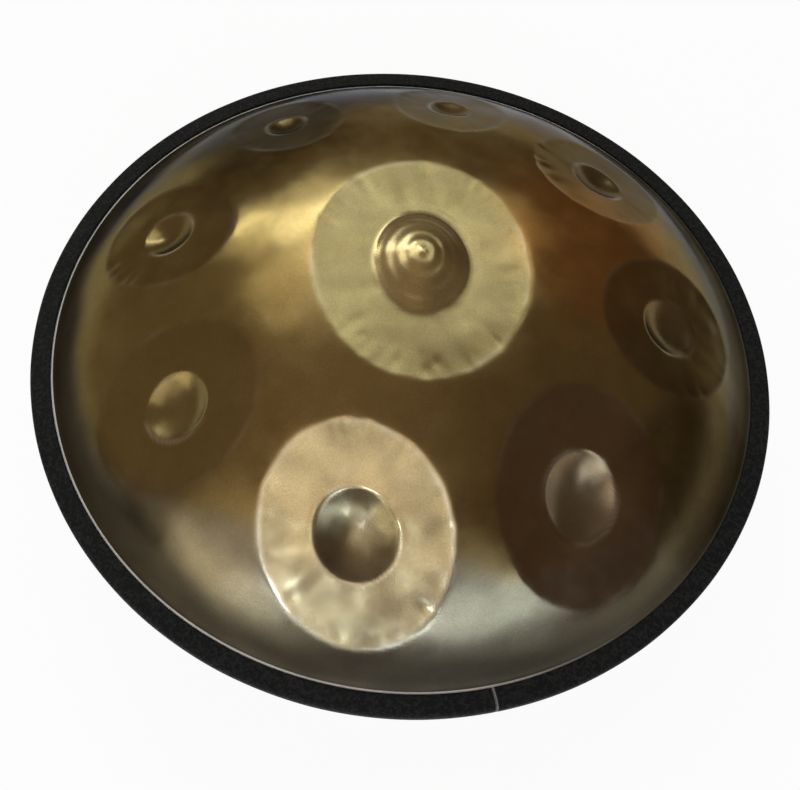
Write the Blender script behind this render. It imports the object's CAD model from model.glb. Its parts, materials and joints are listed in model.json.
"""Finish, stage and fine relief for a handpan: two formed steel shells and a guarded rim."""

import json
import math

import bmesh
import bpy
import numpy as np
from bpy.props import FloatProperty, FloatVectorProperty, IntProperty, PointerProperty
from mathutils import Matrix, Vector


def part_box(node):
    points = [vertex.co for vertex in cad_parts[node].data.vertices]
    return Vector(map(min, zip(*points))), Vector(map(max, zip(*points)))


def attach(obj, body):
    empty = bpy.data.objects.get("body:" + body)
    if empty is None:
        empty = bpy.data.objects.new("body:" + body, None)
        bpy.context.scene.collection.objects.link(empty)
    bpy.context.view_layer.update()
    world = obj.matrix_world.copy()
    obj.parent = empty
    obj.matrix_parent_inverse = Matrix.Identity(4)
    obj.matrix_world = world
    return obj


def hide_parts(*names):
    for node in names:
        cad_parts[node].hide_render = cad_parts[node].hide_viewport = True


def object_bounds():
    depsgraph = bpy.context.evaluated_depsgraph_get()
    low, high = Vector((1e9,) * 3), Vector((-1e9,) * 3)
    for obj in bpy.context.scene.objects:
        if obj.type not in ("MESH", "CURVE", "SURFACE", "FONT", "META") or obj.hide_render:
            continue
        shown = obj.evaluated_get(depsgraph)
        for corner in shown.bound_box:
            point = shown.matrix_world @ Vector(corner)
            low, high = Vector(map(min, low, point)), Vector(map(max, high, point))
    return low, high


bl_info = {
    "name": "Handpan",
    "version": (1, 0, 0),
    "blender": (4, 5, 0),
    "location": "View3D > Sidebar > Handpan",
    "description": "Builds the finished surfaces of a handpan and a plain studio round it",
    "category": "Add Mesh",
}

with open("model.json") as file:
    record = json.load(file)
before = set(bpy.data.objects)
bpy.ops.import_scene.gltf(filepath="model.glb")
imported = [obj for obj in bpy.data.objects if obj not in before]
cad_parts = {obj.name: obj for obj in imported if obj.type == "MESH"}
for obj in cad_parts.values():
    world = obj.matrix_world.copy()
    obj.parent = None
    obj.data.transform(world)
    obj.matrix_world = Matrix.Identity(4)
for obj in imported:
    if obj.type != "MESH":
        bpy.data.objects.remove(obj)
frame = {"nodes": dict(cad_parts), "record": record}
CAD_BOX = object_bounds()
UPPER_LOW, UPPER_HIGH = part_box("upper_shell")
LOWER_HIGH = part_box("lower_shell")[1]
GUARD_LOW, GUARD_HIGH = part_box("rim_guard")
PORT_RADIUS = next(
    mount["dims"]["r_mm"] / 1000.0 for mount in frame["record"]["mounts"] if mount["name"] == "port"
)
MM = 0.001

# Where the bend from the dome to its flange begins and how far it takes to come in full, where it
# has died out on the flange and over what width.
BEND_START, BEND_EASE = 60.0 * MM, 40.0 * MM
BEND_END, BEND_FADE = 8.0 * MM, 4.0 * MM
# Rounding of the central boss's foot on the far side, and what is added towards the player.
FOOT_ROUNDING, FOOT_EXTRA = 0.3 * MM, 1.5 * MM
# Lowest point of the boss's profile, over its height.
CAP_FLOOR = -0.9
# Distance from its centre out to which a field is worked out, in half-lengths.
FIELD_MARGIN = 1.25
# Ground of one hammer mark: length along a field's border, and area inside it.
MARK_SPACING, MARK_AREA = 8.0 * MM, 75.0 * MM**2
# Half-widths of the lines rubbed along a field's border and round its dimple.
BORDER_LINE, DIMPLE_LINE = 1.8 * MM, 1.3 * MM
# Lip raised round a dimple, and rounding of the dimple's edge.
DIMPLE_LIP, DIMPLE_ROUNDING = 0.12 * MM, 0.25 * MM
# How far the guard's skin lies inside its box, and how much its cut ends draw in.
GUARD_INSET, GUARD_SHRINK = 0.15 * MM, 0.12 * MM

# The eight notes of the ring: azimuth in degrees, half-width of the dimple in millimetres, the
# lean of the long axis from the radius towards +azimuth in degrees, and the tone of the field's
# tint, from -1 for deep to 1 for pale.
RING_NOTES = (
    (-94.2, 26.7, 25.0, 0.9),
    (-45.8, 27.0, -22.0, -0.55),
    (3.2, 22.4, 15.0, -0.7),
    (47.2, 20.4, -8.0, -0.5),
    (88.9, 16.4, 0.0, -0.3),
    (130.5, 15.2, 0.0, -0.9),
    (173.4, 18.9, -5.0, -0.45),
    (218.0, 22.2, 6.0, -0.25),
)
DING_TONE = 0.6

# Middles of the areas where the heat tint differs: reddish on the right, deep red-brown at the
# front right, and deep on the far left, on the right and at the far side.
RUSSET_CENTRE = (0.112, 0.052, 0.20)
RED_CENTRE = (0.132, -0.136, 0.17)
DEEP_CENTRES = ((-0.14, 0.125, 0.18), (0.222, -0.085, 0.14), (-0.08, 0.215, 0.15))
# How far the deepest tint takes over in the middle of such an area.
DEEP_SHARE = 0.9


# ---- Settings ----


def ratio(name, description, default, **options):
    """A plain number, unbounded unless an option bounds it."""
    return FloatProperty(name=name, description=description, default=default, **options)


def length(name, description, default):
    """A length in metres, shown in the scene's unit."""
    return ratio(name, description, default, unit="LENGTH", precision=5)


def share(name, description, default):
    """A plain number from 0 to 1."""
    return ratio(name, description, default, min=0.0, max=1.0, subtype="FACTOR")


def angle(name, description, degrees):
    """An angle, given here in degrees."""
    return ratio(name, description, math.radians(degrees), subtype="ANGLE")


def colour(name, description, default):
    """A linear colour without alpha."""
    text = {"name": name, "description": description}
    return FloatVectorProperty(**text, default=default, min=0.0, max=1.0, size=3, subtype="COLOR")


class HandpanShellSettings(bpy.types.PropertyGroup):
    """Sizes of the two formed shells."""

    sheet: length("Sheet", "Thickness of the steel sheet", 1.2 * MM)
    bend: length("Bend", "Softness of the bend between a dome and its flange", 6.0 * MM)
    dome_radius: length("Dome radius", "Radius where a dome meets its flange", 262.0 * MM)
    dome_height: length("Dome height", "Height of the undented dome above its flange", 115.0 * MM)
    dome_overhang: length("Dome overhang", "Profile's semi-axis past the dome radius", 40.0 * MM)
    note_inset: length("Note inset", "From the dome's base to the circle of dimples", 75.0 * MM)
    field_border: length("Field border", "Half-width of a field with no dimple", 17.0 * MM)
    field_growth: ratio("Field growth", "Half-width of a field per half-width of dimple", 1.68)
    field_elongation: ratio("Field elongation", "Length of a field over its width", 1.2)
    ding_flattening: ratio("Ding flattening", "Share of its curve the central field loses", 1.0)
    field_flattening: ratio("Field flattening", "Share of its curve a ring field loses", 1.2)
    bevel_depth: length("Bevel depth", "Extra step pressed at a field's border", 0.45 * MM)
    dimple_elongation: ratio("Dimple elongation", "Length of a dimple over its width", 1.13)
    dimple_depth: share("Dimple depth", "Depth of a dimple over its half-width", 0.3)
    ding_field_width: length("Ding field half-width", "Central field across", 74.0 * MM)
    ding_field_length: length("Ding field half-length", "Central field along", 90.0 * MM)
    ding_width: length("Ding half-width", "Central boss across", 32.0 * MM)
    ding_length: length("Ding half-length", "Central boss along", 40.0 * MM)
    ding_height: length("Ding height", "Central boss above its field", 12.8 * MM)
    ding_azimuth: angle("Ding azimuth", "Direction of the central field's long axis", 102.0)
    ring_count: IntProperty(name="Rings", description="Pressed rings on the boss", default=4)
    ring_depth: length("Ring depth", "Half the height of a pressed ring", 0.13 * MM)
    moat_depth: length("Moat depth", "Shallow groove round the central boss", 0.7 * MM)
    mark_depth: length("Hammer mark depth", "Depth of a hammer mark in a field", 0.25 * MM)
    waviness: length("Waviness", "Broad unevenness of the sheet", 0.22 * MM)
    port_lip: length("Port lip", "Radius rolled at the port", 8.0 * MM)
    neck_height: length("Neck height", "Top of the neck above the resting land", 30.0 * MM)
    land_width: length("Land width", "Width of the flat resting land", 8.0 * MM)


class HandpanGuardSettings(bpy.types.PropertyGroup):
    """Sizes of the soft guard on the rim."""

    corner: length("Corner", "Rounding of the guard's outer corners", 3.0 * MM)
    lip: length("Lip", "Rounding of the guard's mouth", 1.2 * MM)
    mouth_radius: length("Mouth radius", "Inner radius of the guard", 265.0 * MM)
    slot_radius: length("Slot radius", "Bottom of the guard's slot", 276.4 * MM)
    half_slot: length("Half slot", "Half the slot's height", 1.6 * MM)
    seam_gap: length("Seam gap", "Opening of the butt joint", 0.4 * MM)
    seam_azimuth: angle("Seam azimuth", "Place of the butt joint", -70.4)


class HandpanFinishSettings(bpy.types.PropertyGroup):
    """Colours and gloss of the finishes."""

    gold: colour("Gold", "Bronzed steel where the tint is light", (0.25, 0.180, 0.072))
    umber: colour("Umber", "Bronzed steel where the tint is deep", (0.205, 0.136, 0.047))
    russet: colour("Russet", "Reddish heat tint", (0.40, 0.195, 0.058))
    pale: colour("Pale field", "Tint of the palest fields", (0.32, 0.262, 0.135))
    deep: colour("Deep tint", "Tint of the darkest fields and areas", (0.122, 0.086, 0.034))
    worn: colour("Worn dimple", "Tint polished thin in the dimples", (0.235, 0.212, 0.138))
    rubbed: colour("Rubbed edge", "Tint rubbed thin along the fields' borders", (0.52, 0.47, 0.35))
    olive: colour("Olive", "Greener heat tint on the -X side", (0.180, 0.144, 0.052))
    deep_red: colour("Deep red", "Darkest heat tint by the second field", (0.165, 0.096, 0.062))
    rim_grey: colour("Outer grey", "Greyer steel outside the fields", (0.172, 0.147, 0.094))
    rim_tint: colour("Rim tint", "Dark steel beside the rim", (0.050, 0.040, 0.025))
    steel: colour("Steel", "Bare steel at the flange", (0.88, 0.87, 0.84))
    grazing: colour("Grazing tint", "Tint of the metal at grazing angles", (0.385, 0.41, 0.45))
    gloss: share("Roughness", "Roughness of the bronzed steel", 0.22)
    rubber: colour("Rubber", "Guard", (0.004, 0.004, 0.004))
    rubber_light: colour("Rubber high spots", "Worn ribs of the guard", (0.017, 0.017, 0.016))
    cut_rubber: colour("Cut rubber", "Cut ends of the guard", (0.26, 0.25, 0.24))
    resin: colour("Resin", "Glue at the rim", (0.42, 0.38, 0.30))


class HandpanStageSettings(bpy.types.PropertyGroup):
    """Camera, floor, lamps and surroundings."""

    lens: ratio("Lens", "Focal length in millimetres", 47.05, unit="CAMERA")
    distance: length("Distance", "From the camera to the middle of the rim", 0.80227)
    elevation: angle("Elevation", "Camera above the rim's plane", 58.42)
    roll: angle("Roll", "Turn about the line of sight", -9.06)
    tilt: angle("Tilt", "Turn of the camera about its own width", 2.84)
    floor: colour("Floor", "Colour of the floor", (0.90, 0.90, 0.90))
    floor_lift: share("Floor lift", "Share of the floor that shows as plain white", 0.93)
    surroundings: colour("Surroundings", "Light from above the horizon", (0.38, 0.30, 0.235))
    horizon: colour("Horizon", "Light low down on the player's side", (0.24, 0.243, 0.25))
    lamp_distance: length("Lamp distance", "From the lamps to the handpan", 4.0)


# ---- Mesh helpers ----


def ring_points(radii, count):
    """Points x, y of one ring after the other."""
    azimuths = 2.0 * np.pi * np.arange(count) / count
    circle = np.column_stack([np.cos(azimuths), np.sin(azimuths)])
    return (np.asarray(radii)[:, None, None] * circle).reshape(-1, 2)


def band_faces(first, count):
    """Quads from one ring to the next of equal count."""
    here = first + np.arange(count)
    following = first + (np.arange(count) + 1) % count
    return np.column_stack([here, here + count, following + count, following])


def halving_faces(fine, coarse, coarse_count):
    """Triangles from a ring of 2 n points to the ring of n points beside it."""
    index = np.arange(coarse_count)
    inner = coarse + index
    inner_next = coarse + (index + 1) % coarse_count
    start = fine + 2 * index
    middle = start + 1
    end = fine + (2 * index + 2) % (2 * coarse_count)
    sides = ((inner, start, middle), (inner, middle, inner_next), (inner_next, middle, end))
    return np.concatenate([np.column_stack(side) for side in sides])


def pole_faces(pole, first, count):
    """Triangles from one point to the ring round it."""
    index = np.arange(count)
    return np.column_stack([np.full(count, pole), first + index, first + (index + 1) % count])


def shell_faces(counts):
    """Quads and triangles over rings of those counts, closed by a pole before and after them.

    A ring's neighbour has the same count, twice that or half that.
    """
    quads, triangles, first = [], [pole_faces(0, 1, counts[0])], 1
    for count, following in zip(counts, counts[1:]):
        last, first = first, first + count
        if following == count:
            quads.append(band_faces(last, count))
        elif following > count:
            triangles.append(halving_faces(first, last, count))
        else:
            triangles.append(halving_faces(last, first, following))
    triangles.append(pole_faces(first + counts[-1], first, counts[-1]))
    return [np.concatenate(quads), np.concatenate(triangles)]


def add_object(name, data):
    """Makes an object of its data and links it to the scene."""
    added = bpy.data.objects.new(name, data)
    bpy.context.scene.collection.objects.link(added)
    return added


def mesh_object(name, points, face_groups, attributes=None):
    """Makes a smooth closed mesh with outward faces, and optional point attributes."""
    mesh = bpy.data.meshes.new(name)
    loops = np.concatenate([group.ravel() for group in face_groups])
    sizes = np.concatenate([np.full(len(group), group.shape[1]) for group in face_groups])
    mesh.vertices.add(len(points))
    mesh.vertices.foreach_set("co", points.astype(np.float32).ravel())
    mesh.loops.add(len(loops))
    mesh.loops.foreach_set("vertex_index", loops.astype(np.int32))
    mesh.polygons.add(len(sizes))
    starts = np.concatenate([[0], np.cumsum(sizes)[:-1]])
    mesh.polygons.foreach_set("loop_start", starts.astype(np.int32))
    mesh.update(calc_edges=True)
    for attribute_name, values in (attributes or {}).items():
        layer = mesh.attributes.new(attribute_name, "FLOAT", "POINT")
        layer.data.foreach_set("value", values.astype(np.float32))
    edit = bmesh.new()
    edit.from_mesh(mesh)
    bmesh.ops.recalc_face_normals(edit, faces=edit.faces)
    edit.to_mesh(mesh)
    edit.free()
    mesh.polygons.foreach_set("use_smooth", np.ones(len(mesh.polygons), dtype=bool))
    if mesh.validate(verbose=False):
        raise RuntimeError(f"{name} has broken faces")
    return add_object(name, mesh)


# ---- Shape of the tone shell ----


class Dome:
    """Elliptical dome, rise * sqrt(1 - (radius / spread)^2) - drop, and its slope."""

    def __init__(self, settings):
        self.spread = settings.dome_radius + settings.dome_overhang
        base_share = math.sqrt(1.0 - (settings.dome_radius / self.spread) ** 2)
        self.rise = settings.dome_height / (1.0 - base_share)
        self.drop = self.rise * base_share

    def height(self, radius):
        return self.rise * np.sqrt(1.0 - (radius / self.spread) ** 2) - self.drop

    def slope(self, radius):
        portion = radius / self.spread
        return np.arctan(self.rise / self.spread * portion / np.sqrt(1.0 - portion**2))


class Field:
    """One tone field: a tangent frame on the dome, its ellipse, tone and dimple's half-width."""

    def __init__(self, dome, radius, azimuth, lean, sizes, flattening, tone, dimple=0.0):
        slope = dome.slope(radius)
        cos, sin = math.cos(azimuth), math.sin(azimuth)
        outward = np.array([math.cos(slope) * cos, math.cos(slope) * sin, -math.sin(slope)])
        self.normal = np.array([math.sin(slope) * cos, math.sin(slope) * sin, math.cos(slope)])
        across = np.cross(self.normal, outward)
        self.centre = np.array([radius * cos, radius * sin, dome.height(radius)])
        self.along = outward * math.cos(lean) + across * math.sin(lean)
        self.side = np.cross(self.normal, self.along)
        self.half_width, self.half_length = sizes
        self.tone = tone
        self.dimple = dimple
        curvature = math.sin(slope) / radius if radius else dome.rise / dome.spread**2
        self.depth = 0.5 * flattening * curvature * self.half_width**2

    def local(self, points):
        """Coordinates along and across the field, in its tangent plane."""
        offset = points - self.centre
        return offset @ self.along, offset @ self.side

    def reach(self, points, half_length, half_width):
        """Elliptical distance from the centre: 1 on the ellipse of those half-sizes."""
        along, side = self.local(points)
        return np.hypot(along / half_length, side / half_width)


def smooth_positive(value, softness):
    """The value where it is positive and 0 where it isn't, rounded over the softness."""
    return 0.5 * (value + np.sqrt(value**2 + softness**2))


def fall(value, end, width):
    """Straight fall from 1 to 0 over the width before the end."""
    return np.clip((end - value) / width, 0.0, 1.0)


def bell(value, middle, width):
    """Bell curve of height 1: exp(-((value - middle) / width)^2)."""
    return np.exp(-(((value - middle) / width) ** 2))


def inside(reach, width):
    """1 inside the ellipse where reach is 1 and 0 outside, blended over the width."""
    return np.clip((1.0 - reach) / width + 0.5, 0.0, 1.0)


def wave_noise(points, wavelength, seed, waves=24):
    """Smooth random field of about unit size: a sum of cosine waves in random directions."""
    random = np.random.default_rng(seed)
    directions = random.normal(size=(waves, 3))
    directions /= np.linalg.norm(directions, axis=1)[:, None]
    lengths = wavelength * random.uniform(0.7, 1.6, waves)
    phases = random.uniform(0.0, 2.0 * np.pi, waves)
    total = np.zeros(len(points))
    for direction, wave, phase in zip(directions, lengths, phases):
        total += np.cos(points @ direction * (2.0 * np.pi / wave) + phase)
    return total * math.sqrt(2.0 / waves)


def hammer_marks(field, points, seed, depth):
    """Depth of hammer marks: a sum of weight * exp(-(radial / long)^2 - (tangential / wide)^2)."""
    along, side = field.local(points)
    random = np.random.default_rng(seed)
    perimeter = math.pi * (field.half_length + field.half_width)
    border_count = int(perimeter / MARK_SPACING)
    inside_count = int(field.half_length * field.half_width / MARK_AREA)

    def draw(at_border, within):
        """Even draws between two numbers for the border's marks, then for those inside."""
        parts = ((at_border, border_count), (within, inside_count))
        return np.concatenate([random.uniform(*limits, count) for limits, count in parts])

    reach = draw((0.86, 0.99), (0.0, 1.0))
    reach[border_count:] = 0.85 * np.sqrt(reach[border_count:])
    turn = random.uniform(0.0, 2.0 * np.pi, border_count + inside_count)
    size = draw((2.6, 5.0), (4.5, 8.5)) * MM
    stretch = random.uniform(1.2, 2.6, len(turn))
    strength = draw((0.2, 1.3), (-1.4, 1.6))
    centre_along = reach * field.half_length * np.cos(turn)
    centre_side = reach * field.half_width * np.sin(turn)
    outward = np.hypot(centre_along, centre_side)
    total = np.zeros(len(along))
    marks = zip(centre_along, centre_side, outward, size, size * stretch, strength)
    for x, y, away, wide, long, weight in marks:
        radial = ((along - x) * x + (side - y) * y) / away
        tangential = ((side - y) * x - (along - x) * y) / away
        total += weight * np.exp(-((radial / long) ** 2) - (tangential / wide) ** 2)
    return depth * total


def boss_relief(settings, points, boss, marks):
    """Sink round the central boss, whose reach is given: its lift and rings, a moat, no marks.

    The lift is part round cap, 1 - reach^2, and part cone, 1 - reach, with a soft tip.
    """
    far_side = np.clip(0.5 + points[:, 1] / (2.0 * settings.ding_length), 0.0, 1.0)
    softness = FOOT_ROUNDING + FOOT_EXTRA * (1.0 - far_side) ** 2
    cone = 1.0 - np.sqrt(boss**2 + 0.05**2)
    cap = np.maximum(0.5 * (1.0 - boss**2) + 0.5 * cone, CAP_FLOOR)
    lift = smooth_positive(cap * settings.ding_height, softness)
    lift -= smooth_positive(CAP_FLOOR * settings.ding_height, softness)
    rings = fall(boss, 1.0, 0.15) * np.cos(2.0 * np.pi * boss * settings.ring_count)
    moat = settings.moat_depth * far_side * bell(boss, 1.12, 0.10)
    marks = marks * fall(boss, 1.15, 0.25)
    return moat - marks - lift * fall(boss, 1.6, 0.3) - rings * settings.ring_depth


def soft_base(settings, dome, radius):
    """Height of the undented dome, which a smooth step turns into its rounded positive part."""
    bare = dome.height(radius)
    bent = smooth_positive(bare, settings.bend)
    bent *= fall(radius, settings.dome_radius + BEND_END, BEND_FADE)
    ease = np.clip((radius - settings.dome_radius + BEND_START) / BEND_EASE, 0.0, 1.0)
    return bare + (bent - bare) * ease**2 * (3.0 - 2.0 * ease)


def sheet_waves(settings, dome, points, radius):
    """Broad unevenness: two wave noises along the dome's normal, fading out at its foot."""
    slope = dome.slope(np.minimum(radius, settings.dome_radius))
    outward = points[:, :2] / np.maximum(radius, 1e-9)[:, None]
    normals = np.concatenate([np.sin(slope)[:, None] * outward, np.cos(slope)[:, None]], axis=-1)
    waves = wave_noise(points, 95.0 * MM, 3) * settings.waviness
    waves += wave_noise(points, 38.0 * MM, 4) * settings.waviness * 0.26
    return normals * (waves * fall(radius, settings.dome_radius, 12.0 * MM))[:, None]


def tone_fields(settings, dome):
    """The central field and then the eight of the ring."""
    sizes = (settings.ding_field_width, settings.ding_field_length)
    turn = (settings.ding_azimuth, 0.0)
    fields = [Field(dome, 0.0, *turn, sizes, settings.ding_flattening, DING_TONE)]
    circle = settings.dome_radius - settings.note_inset
    for azimuth, dimple, lean, tone in RING_NOTES:
        half_width = settings.field_border + settings.field_growth * dimple * MM
        sizes = (half_width, half_width * settings.field_elongation)
        turn = (math.radians(azimuth), math.radians(lean))
        flattening = settings.field_flattening
        fields.append(Field(dome, circle, *turn, sizes, flattening, tone, dimple * MM))
    return fields


def tone_surface(settings, plan):
    """Points of the tone shell's outer face over x and y, measured from its flange, and masks.

    The dome is an ellipse turned about Z. Along each field's normal it is sunk by
    depth * (1 - reach^2), which flattens it, and by bevel * (1 - reach^14), which steps its
    border. Dimples sink a further cap and the central boss raises one.
    """
    dome = Dome(settings)
    radius = np.hypot(*plan.T)
    points = np.column_stack([plan, soft_base(settings, dome, radius)])
    shift = sheet_waves(settings, dome, points, radius)
    masks = {name: np.zeros(len(points)) for name in ("tone", "dimple", "border", "boss")}

    for number, field in enumerate(tone_fields(settings, dome)):
        near = np.linalg.norm(points - field.centre, axis=1) < FIELD_MARGIN * field.half_length
        here = points[near]
        reach = field.reach(here, field.half_length, field.half_width)
        paleness = max(field.tone, 0.0)
        sink = field.depth * smooth_positive(1.0 - reach**2, 0.07)
        sink += settings.bevel_depth * smooth_positive(1.0 - np.minimum(reach, 1.2) ** 14, 0.05)
        mark_depth = settings.mark_depth * (0.45 + 0.55 * paleness)
        marks = hammer_marks(field, here, 100 + number, mark_depth)
        sink += marks * fall(reach, 1.03, 0.05)
        line = bell(reach, 0.99, BORDER_LINE / field.half_width) * (0.3 + 0.7 * paleness**2)
        if field.dimple:
            bowl = field.reach(here, field.dimple * settings.dimple_elongation, field.dimple)
            depth = field.dimple * settings.dimple_depth
            sink += smooth_positive((1.0 - bowl**2) * depth, DIMPLE_ROUNDING)
            sink -= DIMPLE_LIP * bell(bowl, 1.08, 0.06)
            line += bell(bowl, 1.04, DIMPLE_LINE / field.dimple)
            masks["dimple"][near] = np.maximum(masks["dimple"][near], inside(bowl, 0.08))
        else:
            boss = field.reach(here, settings.ding_length, settings.ding_width)
            sink += boss_relief(settings, here, boss, marks)
            masks["boss"][near] = inside(boss, 0.1)
        shift[near] -= sink[:, None] * field.normal
        masks["tone"][near] += field.tone * inside(reach, 0.05)
        masks["border"][near] = np.maximum(masks["border"][near], np.minimum(line, 1.0))

    return points + shift * (radius <= settings.dome_radius)[:, None], masks


def tone_shell(settings):
    """Tone shell: fine outer face, flange, and a coarser inner face sunk by sheet / cos(slope)."""
    fine, medium, coarse = 640, 320, 160
    dome_radius = settings.dome_radius
    flange_radius = UPPER_HIGH[0]
    edge = 0.15 * MM
    crown = np.arange(1, 25) * 0.85 * MM
    middle = np.arange(crown[-1] + 1.05 * MM, 70.0 * MM, 1.05 * MM)
    outer = np.linspace(middle[-1] + 1.8 * MM, dome_radius - 2.5 * MM, 101)
    outer = np.append(outer, dome_radius + np.array([-1.6, -0.9, -0.4, 0.0]) * MM)
    flange = np.append(dome_radius + np.array([0.5, 1.2, 3.0, 7.0]) * MM, flange_radius - edge)

    parts, counts = [np.zeros((1, 2))], []
    for radii, count in ((crown, coarse), (middle, medium), (outer, fine), (flange, fine)):
        parts.append(ring_points(radii, count))
        counts += [count] * len(radii)
    top, masks = tone_surface(settings, np.concatenate(parts))

    edges = []
    for radius, depth, count in (
        (flange_radius, edge, fine),
        (flange_radius, settings.sheet - edge, fine),
        (flange_radius - edge, settings.sheet, fine),
        (dome_radius + 5.0 * MM, settings.sheet, medium),
    ):
        edges.append(np.insert(ring_points([radius], count), 2, -depth, axis=1))
        counts.append(count)

    inner_radii = np.append(np.linspace(dome_radius - 1.5 * MM, 8.0 * MM, 44), 3.0 * MM)
    inner = np.concatenate([ring_points(inner_radii, coarse), np.zeros((1, 2))])
    under = tone_surface(settings, inner)[0]
    slope = Dome(settings).slope(np.minimum(np.hypot(*inner.T), dome_radius))
    under[:, 2] -= settings.sheet / np.cos(slope)
    counts += [coarse] * len(inner_radii)

    points = np.concatenate([top, *edges, under])
    points[:, 2] += UPPER_LOW[2] + settings.sheet
    extra = np.zeros(len(points) - len(top))
    attributes = {name: np.concatenate([mask, extra]) for name, mask in masks.items()}
    return mesh_object("tone_shell", points, shell_faces(counts), attributes)


# ---- Shape of the bottom shell and the guard ----


def arc(centre_r, centre_z, radius, start, end, count):
    """Points r, z of a circular arc between two angles in degrees."""
    angles = np.radians(np.linspace(start, end, count))
    circle = np.column_stack([np.cos(angles), np.sin(angles)])
    return np.array([centre_r, centre_z]) + radius * circle


def land_radius(settings):
    """Outer radius of the flat resting land round the port."""
    return PORT_RADIUS + settings.port_lip + settings.land_width


def bottom_profile(settings):
    """Closed section r, z: flange, dome, land, lip and neck, the sheet thick along the normal."""
    dome = Dome(settings)
    sheet = settings.sheet
    flange_radius = UPPER_HIGH[0]
    flange_bottom = LOWER_HIGH[2] - sheet
    land = land_radius(settings)
    outer_r = settings.dome_radius - (settings.dome_radius - land) * np.linspace(0.0, 1.0, 90)
    outer_z = flange_bottom - dome.height(outer_r)
    slope = dome.slope(outer_r)
    inner_r = outer_r - sheet * np.sin(slope)
    inner_z = outer_z + sheet * np.cos(slope)
    inner_z[0], inner_z[-1] = LOWER_HIGH[2], sheet
    lip_r, lip_z = PORT_RADIUS + settings.port_lip, settings.port_lip
    edge, neck_edge = 0.2 * MM, 0.6 * MM
    neck_r, neck_z = PORT_RADIUS + neck_edge, settings.neck_height - neck_edge
    return np.concatenate(
        [
            [[flange_radius, flange_bottom + edge], [flange_radius - edge, flange_bottom]],
            [[settings.dome_radius + 1.0 * MM, flange_bottom]],
            np.column_stack([outer_r, np.maximum(outer_z, 0.0)]),
            [[lip_r + 4.0 * MM, 0.0]],
            arc(lip_r, lip_z, settings.port_lip, 270.0, 180.0, 12),
            [[PORT_RADIUS, settings.neck_height - 0.5 * neck_edge]],
            arc(neck_r, neck_z, neck_edge, 180.0, 0.0, 7)[1:-1],
            [[PORT_RADIUS + sheet, neck_z]],
            arc(lip_r, lip_z, settings.port_lip - sheet, 180.0, 270.0, 12),
            np.column_stack([inner_r, inner_z])[::-1],
            [[flange_radius - edge, LOWER_HIGH[2]], [flange_radius, LOWER_HIGH[2] - edge]],
        ]
    )


def turned_points(profile, azimuths):
    """Carries a section round the axis, r cos, r sin, z: the first index is the azimuth."""
    cos, sin = np.cos(azimuths)[:, None], np.sin(azimuths)[:, None]
    height = np.broadcast_to(profile[:, 1], (len(azimuths), len(profile)))
    return np.stack([profile[:, 0] * cos, profile[:, 0] * sin, height], axis=-1)


def loop_faces(turns, count, closed):
    """Quads between successive copies of a closed section, joined round where closed."""
    start = np.arange(turns if closed else turns - 1)[:, None]
    here = np.arange(count)
    following = (here + 1) % count
    row, next_row = start * count, (start + 1) % turns * count
    quads = np.stack([row + here, row + following, next_row + following, next_row + here], axis=-1)
    return quads.reshape(-1, 4)


def bottom_shell(settings):
    """Bottom shell turned from its section, with the sheet's broad unevenness on its dome."""
    profile = bottom_profile(settings)
    turns = 360
    azimuths = 2.0 * np.pi * np.arange(turns) / turns
    points = turned_points(profile, azimuths).reshape(-1, 3)
    radius = np.hypot(points[:, 0], points[:, 1])
    land = land_radius(settings)
    fade = np.clip((radius - land) / (30.0 * MM), 0.0, 1.0)
    fade *= fall(radius, settings.dome_radius, 20.0 * MM)
    points[:, 2] += wave_noise(points, 110.0 * MM, 9) * settings.waviness * fade
    return mesh_object("bottom_shell", points, [loop_faces(turns, len(profile), True)])


def guard_profile(settings):
    """Closed section r, z of the guard, from its middle height: a channel open to the axis."""
    outer = GUARD_HIGH[0]
    half = 0.5 * (GUARD_HIGH[2] - GUARD_LOW[2])
    mouth, slot = settings.mouth_radius, settings.slot_radius
    corner, lip = settings.corner, settings.lip
    top_r = np.linspace(mouth + lip, outer - corner, 14)[1:-1]
    slot_r = np.linspace(slot, mouth, 4)
    upper = np.concatenate(
        [
            np.insert(slot_r[:, None], 1, settings.half_slot, axis=1),
            [[mouth, settings.half_slot + 0.8 * MM]],
            arc(mouth + lip, half - lip, lip, 180.0, 90.0, 6),
            np.insert(top_r[:, None], 1, half, axis=1),
            arc(outer - corner, half - corner, corner, 90.0, 0.0, 9),
        ]
    )
    return np.concatenate([upper, (upper * [1.0, -1.0])[::-1]])


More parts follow.
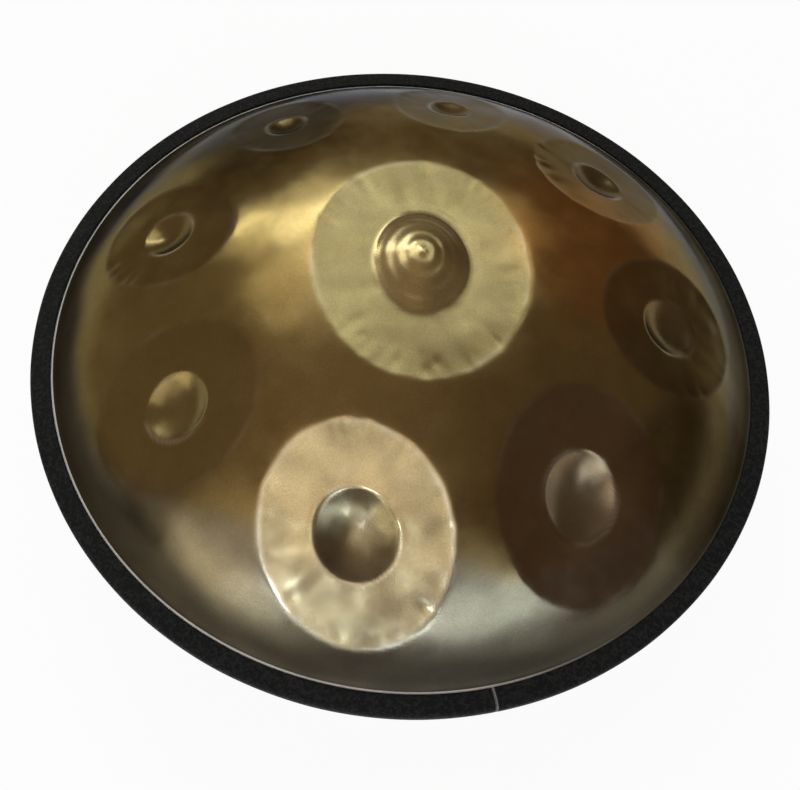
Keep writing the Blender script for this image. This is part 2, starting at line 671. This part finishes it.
def edge_guard(settings):
    """Guard carried round the rim, its section drawn in towards its middle by an inset.

    The inset ripples by two sines and grows at the cut as exp(-distance / width).
    """
    profile = guard_profile(settings)
    middle = 0.5 * (GUARD_HIGH[2] + GUARD_LOW[2])
    turns = 1200
    half_gap = 0.5 * settings.seam_gap / GUARD_HIGH[0]
    azimuths = settings.seam_azimuth + np.linspace(half_gap, 2.0 * np.pi - half_gap, turns)
    distance = np.minimum(azimuths - azimuths[0], azimuths[-1] - azimuths) * GUARD_HIGH[0]
    shrink = GUARD_SHRINK * np.exp(-distance / (0.8 * MM))[:, None]
    relative = profile - [0.5 * (settings.mouth_radius + GUARD_HIGH[0]), 0.0]
    relative /= np.linalg.norm(relative, axis=1)[:, None]
    outside = (np.abs(profile[:, 1]) > settings.half_slot + 0.5 * MM) | (
        profile[:, 0] > settings.slot_radius + 1.0 * MM
    )
    arc_length = azimuths[:, None] * GUARD_HIGH[0]
    ripple = 0.05 * MM * np.sin(arc_length / (37.0 * MM))
    ripple = ripple + 0.04 * MM * np.sin(arc_length / (11.0 * MM))
    inset = (GUARD_INSET + ripple + shrink) * outside
    section = profile - relative * inset[..., None]
    bow = 0.5 * MM * np.sin((section[..., 0] - settings.mouth_radius) / (15.0 * MM) * np.pi)
    end_bow = np.exp(-distance / (4.0 * MM))[:, None] * bow / GUARD_HIGH[0]
    turned = azimuths[:, None] + end_bow
    radius, height = section[..., 0], section[..., 1] + middle
    points = np.stack([radius * np.cos(turned), radius * np.sin(turned), height], axis=-1)
    count = len(profile)
    faces = loop_faces(turns, count, False)
    ends = cap_faces(count)
    caps = np.concatenate([ends, ends + (turns - 1) * count])
    cut = np.exp(-distance / (0.15 * MM))[:, None]
    attributes = {
        name: np.broadcast_to(values, section.shape[:2]).ravel()
        for name, values in (("run", arc_length), ("cut_end", cut))
    }
    return mesh_object("edge_guard", points.reshape(-1, 3), [faces, caps], attributes)


def cap_faces(count):
    """Quads that close the channel's section, pairing its inner and outer sides."""
    half = count // 2
    lower = np.arange(half - 1)
    return np.column_stack([lower, lower + 1, count - 2 - lower, count - 1 - lower])


# ---- Materials ----


class Nodes:
    """Short calls for building the node tree of a material or a world."""

    def __init__(self, owner, coordinates="Object"):
        owner.use_nodes = True
        self.owner = owner
        self.tree = owner.node_tree
        self.tree.nodes.clear()
        self.point = self.add("TexCoord").outputs[coordinates]

    def add(self, kind, inputs=None, **properties):
        node = self.tree.nodes.new("ShaderNode" + kind)
        for key, value in properties.items():
            setattr(node, key, value)
        for key, value in (inputs or {}).items():
            if isinstance(value, bpy.types.NodeSocket):
                self.tree.links.new(value, node.inputs[key])
            else:
                node.inputs[key].default_value = value
        return node

    def noise(self, scale, detail, roughness, *limits, vector=None):
        """Noise at the point, or a smooth step of it between limits."""
        inputs = {"Scale": scale, "Detail": detail, "Roughness": roughness}
        inputs["Vector"] = self.point if vector is None else vector
        value = self.add("TexNoise", inputs).outputs["Fac"]
        return self.between(value, *limits) if limits else value

    def math(self, operation, first, second=0.0, clamp=False):
        inputs = {0: first, 1: second}
        return self.add("Math", inputs, operation=operation, use_clamp=clamp).outputs[0]

    def plus(self, first, second):
        return self.math("ADD", first, second)

    def times(self, product, *factors):
        for factor in factors:
            product = self.math("MULTIPLY", product, factor)
        return product

    def between(self, value, low, high, to_low=0.0, to_high=1.0):
        """Smooth step from one number to another as the value goes from low to high."""
        inputs = {"Value": value, "From Min": low, "From Max": high}
        inputs.update({"To Min": to_low, "To Max": to_high})
        return self.add("MapRange", inputs, interpolation_type="SMOOTHSTEP").outputs["Result"]

    def mix(self, factor, first, second):
        """Blend of two colours, each given as a socket or as three numbers."""
        inputs = {0: factor}
        for key, value in ((6, first), (7, second)):
            inputs[key] = value if isinstance(value, bpy.types.NodeSocket) else rgba(value)
        return self.add("Mix", inputs, data_type="RGBA").outputs[2]

    def scaled(self, vector, factor):
        inputs = {0: vector, "Scale": factor}
        return self.add("VectorMath", inputs, operation="SCALE").outputs[0]

    def attribute(self, name):
        return self.add("Attribute", attribute_name=name).outputs["Fac"]

    def parts(self):
        """X, Y and Z of the point."""
        return list(self.add("SeparateXYZ", {"Vector": self.point}).outputs)

    def radius(self, x, y):
        """Distance from the Z axis."""
        return self.math("SQRT", self.plus(self.math("POWER", x, 2.0), self.math("POWER", y, 2.0)))

    def distance(self, centre):
        """Distance of the point from a centre."""
        inputs = {0: self.point, 1: centre}
        return self.add("VectorMath", inputs, operation="DISTANCE").outputs["Value"]

    def bump(self, height, strength, distance):
        inputs = {"Height": height, "Strength": strength, "Distance": distance}
        return self.add("Bump", inputs).outputs["Normal"]

    def finish(self, shader, kind="Material"):
        self.add("Output" + kind, {"Surface": shader.outputs[0]})
        return self.owner


def rgba(values):
    return (*values, 1.0)


def heat_tint(nodes, finish, across, along, radius):
    """Colour of the heat tint over the whole sheet, and the shade left where it ran deep."""
    broad = nodes.noise(7.0, 2.0, 0.5, 0.35, 0.68)
    tint = nodes.mix(broad, finish.gold, finish.umber)
    wander = nodes.times(nodes.noise(16.0, 3.0, 0.6), 0.08)
    reddish = nodes.between(nodes.plus(nodes.distance(RUSSET_CENTRE), wander), 0.145, 0.06)
    tint = nodes.mix(reddish, tint, finish.russet)
    tint = nodes.mix(nodes.between(across, -0.06, -0.15, 0.0, 0.6), tint, finish.olive)
    wavering = nodes.plus(radius, nodes.times(nodes.noise(9.0, 2.0, 0.5), 0.05))
    greying = nodes.plus(wavering, nodes.between(across, -0.19, -0.07, -0.028, 0.0))
    greying = nodes.plus(greying, nodes.between(along, -0.19, -0.11, 0.020, 0.0))
    tint = nodes.mix(nodes.between(greying, 0.238, 0.262, 0.0, 0.9), tint, finish.rim_grey)
    deepening = 1.0
    for centre in DEEP_CENTRES:
        away = nodes.plus(nodes.distance(centre), wander)
        deep = nodes.between(away, 0.14, 0.06, 0.0, DEEP_SHARE)
        tint = nodes.mix(deep, tint, finish.deep)
        deepening = nodes.times(nodes.between(deep, 0.0, DEEP_SHARE, 1.0, 0.65), deepening)
    darkening = nodes.between(wavering, 0.257, 0.281, 0.0, 0.95)
    darkening = nodes.times(darkening, nodes.between(across, 0.10, 0.20, 1.0, 0.1))
    return nodes.mix(darkening, tint, finish.rim_tint), deepening


def field_tint(nodes, finish, across, along, tint, shade):
    """Tint and shade with the fields: pale or deep by tone, worn in dimples and on the boss."""
    tone, dimple = nodes.attribute("tone"), nodes.attribute("dimple")
    paleness = nodes.math("MAXIMUM", tone, 0.0)
    mottle = nodes.noise(26.0, 5.0, 0.62, 0.36, 0.60, 0.65, 1.0)
    outside = nodes.between(dimple, 0.0, 1.0, 1.0, 0.25)
    tint = nodes.mix(nodes.times(paleness, mottle, outside), tint, finish.pale)
    reddish = nodes.between(nodes.distance(RED_CENTRE), 0.13, 0.08)
    deep = nodes.mix(reddish, finish.deep, finish.deep_red)
    tint = nodes.mix(nodes.math("MULTIPLY", tone, -1.0, clamp=True), tint, deep)
    wear = nodes.between(along, -0.13, -0.11, 0.45, 0.15)
    wear = nodes.times(wear, nodes.between(across, -0.11, -0.06, 0.2, 1.0))
    tint = nodes.mix(nodes.times(dimple, wear), tint, finish.worn)
    patch = nodes.noise(30.0, 2.0, 0.45, 0.36, 0.62, 0.13, -0.17)
    patch = nodes.plus(nodes.times(patch, paleness), 1.0)
    bowl = nodes.between(nodes.times(dimple, paleness), 0.0, 0.9, 1.0, 0.85)
    polish = nodes.plus(nodes.times(nodes.attribute("boss"), 0.5), 1.0)
    return tint, nodes.times(shade, patch, bowl, polish)


def bronzed_steel(scene, name, with_fields):
    """Satin bronze heat tint on steel, bare and pale at the flange, mottled in the fields."""
    finish, dome_radius = scene.handpan_finish, scene.handpan_shell.dome_radius
    nodes = Nodes(bpy.data.materials.new(name))
    across, along = nodes.parts()[:2]
    radius = nodes.radius(across, along)
    tint, deepening = heat_tint(nodes, finish, across, along, radius)
    cloud = nodes.noise(38.0, 4.0, 0.6, 0.3, 0.7, 0.94, 1.06)
    grain = nodes.noise(900.0, 2.0, 0.5, 0.3, 0.7, 0.93, 1.07)
    shade = nodes.times(cloud, grain, deepening)
    if with_fields:
        tint, shade = field_tint(nodes, finish, across, along, tint, shade)
    bare = nodes.between(radius, dome_radius + 1.4 * MM, dome_radius + 2.0 * MM)
    bare = nodes.times(bare, nodes.between(across, 0.06, 0.20, 1.0, 0.15))
    base = nodes.mix(bare, nodes.scaled(tint, shade), finish.steel)
    smear = nodes.noise(26.0, 3.0, 0.6, 0.3, 0.7, -0.05, 0.06)
    roughness = nodes.plus(smear, nodes.between(bare, 0.0, 1.0, finish.gloss, 0.4))
    foot = nodes.between(radius, dome_radius - 24.0 * MM, dome_radius - 4.0 * MM, 0.0, 0.28)
    roughness = nodes.plus(roughness, foot)
    if with_fields:
        patchy = nodes.noise(24.0, 2.0, 0.5, 0.42, 0.64, 0.0, 0.5)
        base = nodes.mix(nodes.times(nodes.attribute("border"), patchy), base, finish.rubbed)
        roughness = nodes.plus(roughness, nodes.times(nodes.attribute("dimple"), 0.04))
    stretched = nodes.add("Mapping", {"Vector": nodes.point, "Scale": (260.0, 3000.0, 900.0)})
    scratches = nodes.times(nodes.noise(1.0, 2.0, 0.5, vector=stretched.outputs[0]), 0.4)
    relief = nodes.plus(nodes.times(nodes.noise(2200.0, 3.0, 0.6), 0.6), scratches)
    inputs = {
        "Base Color": base,
        "Metallic": 1.0,
        "Roughness": roughness,
        "Specular Tint": rgba(finish.grazing),
        "Normal": nodes.bump(relief, 0.25, 0.02 * MM),
    }
    return nodes.finish(nodes.add("BsdfPrincipled", inputs))


def guard_rubber(finish):
    """Matt black elastomer with fine cross ribs and a woven skin, paler where it was cut."""
    nodes = Nodes(bpy.data.materials.new("guard_rubber"))
    x, y = nodes.parts()[:2]
    jitter = nodes.times(nodes.noise(420.0, 2.0, 0.5), 1.2 * MM)
    ribs, rows = (
        nodes.math("SINE", nodes.times(nodes.plus(run, jitter), 2.0 * math.pi / (pitch * MM)))
        for run, pitch in ((nodes.attribute("run"), 2.1), (nodes.radius(x, y), 2.3))
    )
    weave = nodes.times(ribs, rows)
    grit = nodes.noise(700.0, 4.0, 0.65)
    pebbles = nodes.noise(430.0, 2.0, 0.5, 0.40, 0.62)
    high = nodes.times(nodes.between(weave, -0.8, 1.0, 0.35, 1.0), pebbles)
    base = nodes.mix(high, finish.rubber, finish.rubber_light)
    cut = nodes.between(nodes.attribute("cut_end"), 0.3, 0.9, 0.0, 0.9)
    inputs = {
        "Base Color": nodes.mix(cut, base, finish.cut_rubber),
        "Roughness": nodes.between(grit, 0.3, 0.7, 0.52, 0.78),
        "Specular IOR Level": 0.14,
        "Normal": nodes.bump(nodes.plus(nodes.times(weave, 0.25), pebbles), 1.0, 0.35 * MM),
    }
    return nodes.finish(nodes.add("BsdfPrincipled", inputs))


def rim_resin(finish):
    """Cured glue: glossy, amber grey, faintly cloudy."""
    nodes = Nodes(bpy.data.materials.new("rim_resin"))
    cloud = nodes.noise(120.0, 3.0, 0.6, 0.3, 0.7)
    inputs = {
        "Base Color": nodes.mix(cloud, finish.resin, [0.75 * part for part in finish.resin]),
        "Roughness": nodes.between(cloud, 0.0, 1.0, 0.2, 0.35),
        "Normal": nodes.bump(nodes.noise(300.0, 2.0, 0.5), 0.3, 0.1 * MM),
    }
    return nodes.finish(nodes.add("BsdfPrincipled", inputs))


# ---- Operators ----


def place(piece, material, slot, *nodes):
    """Gives a piece its material, and lets it stand for its CAD nodes on the only body."""
    piece.data.materials.clear()
    piece.data.materials.append(material)
    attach(piece, "root")
    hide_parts(*nodes)


class HANDPAN_OT_tone_shell(bpy.types.Operator):
    """Build the upper shell with its tone fields, dimples, rings and hammer marks"""

    bl_idname = "handpan.tone_shell"
    bl_label = "Tone shell"

    def execute(self, context):
        material = bronzed_steel(context.scene, "tone_steel", True)
        piece = tone_shell(context.scene.handpan_shell)
        place(piece, material, "bronzed_steel", "upper_shell")
        return {"FINISHED"}


class HANDPAN_OT_bottom_shell(bpy.types.Operator):
    """Build the lower shell with its resting land, port and neck"""

    bl_idname = "handpan.bottom_shell"
    bl_label = "Bottom shell"

    def execute(self, context):
        material = bronzed_steel(context.scene, "bottom_steel", False)
        piece = bottom_shell(context.scene.handpan_shell)
        place(piece, material, "bronzed_steel", "lower_shell")
        return {"FINISHED"}


class HANDPAN_OT_edge_guard(bpy.types.Operator):
    """Build the ribbed guard round the rim with its butt joint"""

    bl_idname = "handpan.edge_guard"
    bl_label = "Edge guard"

    def execute(self, context):
        material = guard_rubber(context.scene.handpan_finish)
        piece = edge_guard(context.scene.handpan_guard)
        place(piece, material, "guard_rubber", "rim_guard")
        return {"FINISHED"}


class HANDPAN_OT_rim_glue(bpy.types.Operator):
    """Give the two glue lines in the rim their resin finish"""

    bl_idname = "handpan.rim_glue"
    bl_label = "Rim glue"

    def execute(self, context):
        material = rim_resin(context.scene.handpan_finish)
        for name in ("flange_bond", "guard_bond"):
            if name not in frame["nodes"]:
                raise RuntimeError(f"The frame has no glue line {name}")
            node = frame["nodes"][name]
            if not node.material_slots:
                node.data.materials.append(None)
            for material_slot in node.material_slots:
                material_slot.material = material
        return {"FINISHED"}


def studio_floor(stage):
    """Pale floor: part lit surface that keeps the shadow, part plain white to sight lines."""
    nodes = Nodes(bpy.data.materials.new("studio_floor"))
    cloud = nodes.noise(3.0, 2.0, 0.5, 0.3, 0.7, 0.99, 1.0)
    lit = nodes.add("BsdfDiffuse", {"Color": nodes.scaled(stage.floor, cloud)})
    plain = nodes.add("Emission", {"Color": rgba((1.0, 1.0, 1.0))})
    rays = nodes.add("LightPath").outputs
    seen = nodes.math("MAXIMUM", rays["Is Camera Ray"], rays["Is Glossy Ray"])
    seen = nodes.math("MAXIMUM", seen, rays["Is Transmission Ray"])
    inputs = {0: nodes.times(seen, stage.floor_lift), 1: lit.outputs[0], 2: plain.outputs[0]}
    return nodes.finish(nodes.add("MixShader", inputs))


def studio_world(stage):
    """Dim warm surroundings, darker towards +X and paler low down on the player's side."""
    nodes = Nodes(bpy.data.worlds.new("studio"), "Generated")
    x, y, z = nodes.parts()
    across, ahead = nodes.between(x, -0.2, 0.6, 1.0, 0.5), nodes.between(y, 0.3, 0.95, 1.0, 0.7)
    shade = nodes.times(across, ahead)
    low = nodes.times(nodes.between(z, 0.02, 0.25, 1.0, 0.0), nodes.between(y, -0.7, 0.1, 1.0, 0.0))
    light = nodes.mix(low, nodes.scaled(stage.surroundings, shade), stage.horizon)
    return nodes.finish(nodes.add("Background", {"Color": light}), "World")


# Tints that several soft boxes share.
DAYLIGHT, GREENISH = (0.95, 1.0, 1.0), (0.88, 1.0, 0.95)
PINKISH, BLUISH = (1.0, 0.97, 1.05), (0.8, 1.0, 1.35)
# Soft boxes: name, azimuth and elevation of their middle, angular width and height in degrees,
# brightness, and colour.
SOFT_BOXES = (
    ("window_box", 120.5, 37, 20, 8, 6, (0.90, 1, 1.05)),
    ("window_tip_box", 135.5, 30.5, 9, 6, 8, DAYLIGHT),
    ("window_glow_box", 130, 50, 28, 16, 1.8, DAYLIGHT),
    ("crown_box", 93, 50, 46, 40, 0.88, GREENISH),
    ("crown_strip_left", 82, 51, 8, 26, 0.75, GREENISH),
    ("crown_strip_right", 98, 51, 8, 26, 0.6, GREENISH),
    ("front_box", -104, 49.5, 34, 31, 0.9, (1, 0.98, 1.02)),
    ("front_strip_left", -113, 51, 7, 22, 0.35, PINKISH),
    ("front_strip_middle", -99, 51, 7, 22, 1, PINKISH),
    ("left_front_box", -128, 31, 24, 20, 0.6, (0.98, 0.95, 0.98)),
    ("low_left_box", -133, 12, 26, 20, 1.8, (1, 0.98, 0.86)),
    ("front_corner_box", -117, 15, 14, 13, 1.8, (0.86, 1, 1.15)),
    ("low_front_box", -94, 26, 46, 5, 3.8, (0.85, 1, 1.28)),
    ("right_front_box", -55, 24, 34, 15, 2.8, (0.80, 1, 1.28)),
    ("upper_right_box", -64, 38, 18, 11, 0.8, (0.80, 1, 1.4)),
    ("left_lamp", -104, 36, 5, 5, 19, BLUISH),
    ("right_lamp", -79, 27, 5, 5, 21, BLUISH),
)


def direction_to(azimuth, elevation):
    """Unit vector towards an azimuth and elevation in degrees."""
    azimuth, elevation = math.radians(azimuth), math.radians(elevation)
    level = math.cos(elevation)
    return Vector((level * math.cos(azimuth), level * math.sin(azimuth), math.sin(elevation)))


def add_soft_box(stage, middle, name, azimuth, elevation, wide, high, brightness, tint):
    """An area lamp that faces the handpan, its power worked out from its brightness."""
    towards = direction_to(azimuth, elevation)
    light = bpy.data.lights.new(name, "AREA")
    light.shape = "RECTANGLE"
    light.size, light.size_y = (
        2.0 * stage.lamp_distance * math.tan(math.radians(0.5 * side)) for side in (wide, high)
    )
    light.energy = brightness * math.pi * light.size * light.size_y
    light.color = tint
    lamp = add_object(name, light)
    lamp.location = middle + towards * stage.lamp_distance
    lamp.rotation_euler = towards.to_track_quat("Z", "Y").to_euler()
    lamp.visible_camera = False


def add_camera(stage, middle):
    """Camera on the player's side, looking along +Y and down at the rim's middle, then rolled."""
    sight = Vector((0.0, math.cos(stage.elevation), -math.sin(stage.elevation)))
    right = Vector((1.0, 0.0, 0.0))
    facing = Matrix((right, right.cross(sight), -sight))
    turned = Matrix.Rotation(stage.roll, 3, "Z") @ Matrix.Rotation(stage.tilt, 3, "X") @ facing
    data = bpy.data.cameras.new("camera")
    data.lens = stage.lens
    data.clip_start = 0.01
    camera = add_object("camera", data)
    seat = Matrix.Translation(middle - sight * stage.distance)
    camera.matrix_world = seat @ turned.transposed().to_4x4()
    bpy.context.scene.camera = camera


class HANDPAN_OT_studio(bpy.types.Operator):
    """Set up the camera, pale floor, soft boxes and surroundings"""

    bl_idname = "handpan.studio"
    bl_label = "Studio"

    def execute(self, context):
        scene = context.scene
        stage = scene.handpan_stage
        middle = Vector((0.0, 0.0, UPPER_LOW[2] + scene.handpan_shell.sheet))
        add_camera(stage, middle)
        for box in SOFT_BOXES:
            add_soft_box(stage, middle, *box)
        reach, ground = 6.0, CAD_BOX[0][2]
        corners = [(x * reach, y * reach, ground) for x, y in ((-1, -1), (1, -1), (1, 1), (-1, 1))]
        mesh = bpy.data.meshes.new("floor")
        mesh.from_pydata(corners, [], [(0, 1, 2, 3)])
        mesh.materials.append(studio_floor(stage))
        floor = add_object("floor", mesh)
        scene.world = studio_world(stage)
        scene.view_settings.view_transform = "Standard"
        return {"FINISHED"}


class HANDPAN_PT_sidebar(bpy.types.Panel):
    """Lists the handpan's pieces and its studio"""

    bl_idname = "HANDPAN_PT_sidebar"
    bl_label = "Handpan"
    bl_space_type = "VIEW_3D"
    bl_region_type = "UI"
    bl_category = "Handpan"

    def draw(self, context):
        for operator in OPERATORS:
            self.layout.operator(operator.bl_idname)


SETTINGS = {
    "handpan_shell": HandpanShellSettings,
    "handpan_guard": HandpanGuardSettings,
    "handpan_finish": HandpanFinishSettings,
    "handpan_stage": HandpanStageSettings,
}
OPERATORS = (
    HANDPAN_OT_tone_shell,
    HANDPAN_OT_bottom_shell,
    HANDPAN_OT_edge_guard,
    HANDPAN_OT_rim_glue,
    HANDPAN_OT_studio,
)


def register():
    for name, group in SETTINGS.items():
        bpy.utils.register_class(group)
        setattr(bpy.types.Scene, name, PointerProperty(type=group))
    for shown in (*OPERATORS, HANDPAN_PT_sidebar):
        bpy.utils.register_class(shown)


def unregister():
    for shown in (HANDPAN_PT_sidebar, *reversed(OPERATORS)):
        bpy.utils.unregister_class(shown)
    for name, group in SETTINGS.items():
        delattr(bpy.types.Scene, name)
        bpy.utils.unregister_class(group)


def main():
    register()
    bpy.ops.handpan.tone_shell()
    bpy.ops.handpan.bottom_shell()
    bpy.ops.handpan.edge_guard()
    bpy.ops.handpan.rim_glue()
    bpy.ops.handpan.studio()


if __name__ == "__main__":
    main()
